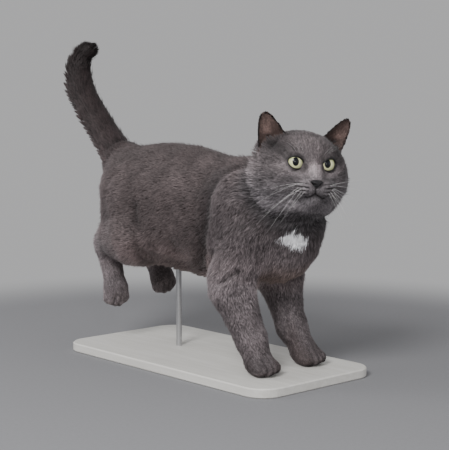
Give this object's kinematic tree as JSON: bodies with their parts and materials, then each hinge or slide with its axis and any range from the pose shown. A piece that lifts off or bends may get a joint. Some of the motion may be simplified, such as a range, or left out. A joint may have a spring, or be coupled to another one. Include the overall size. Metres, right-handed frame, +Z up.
{
  "type": "cat",
  "caption": "Still life-size model of a stocky blue short-haired cat in a low hop, forefeet planted, hind feet tucked, tail up, held by a rod over a flat base.",
  "frame": {"origin": "centre of the base's underside", "axes": "+Z is up, the cat faces -Y and its left side is +X"},
  "size_m": [0.2, 0.5483, 0.4307],
  "materials": {
    "coat": "dense short blue-grey fur with paler tips",
    "nose": "dark matt nose leather",
    "eye": "wet, pale yellow-green iris with a black pupil under a clear cornea",
    "stand": "pale painted board, satin",
    "rod": "brushed round rod"
  },
  "bodies": {
    "root": {"head": "coat", "nose": "nose", "eye_left": "eye", "eye_right": "eye", "ear_left": "coat", "ear_right": "coat", "neck": "coat", "trunk": "coat", "upper_arm_left": "coat", "forearm_left": "coat", "forepaw_left": "coat", "thigh_left": "coat", "shank_left": "coat", "hind_foot_left": "coat", "hind_paw_left": "coat", "upper_arm_right": "coat", "forearm_right": "coat", "forepaw_right": "coat", "thigh_right": "coat", "shank_right": "coat", "hind_foot_right": "coat", "hind_paw_right": "coat", "tail_root": "coat", "tail_middle": "coat", "tail_tip": "coat", "stand_base": "stand", "stand_rod": "rod"}
  },
  "joints": []
}
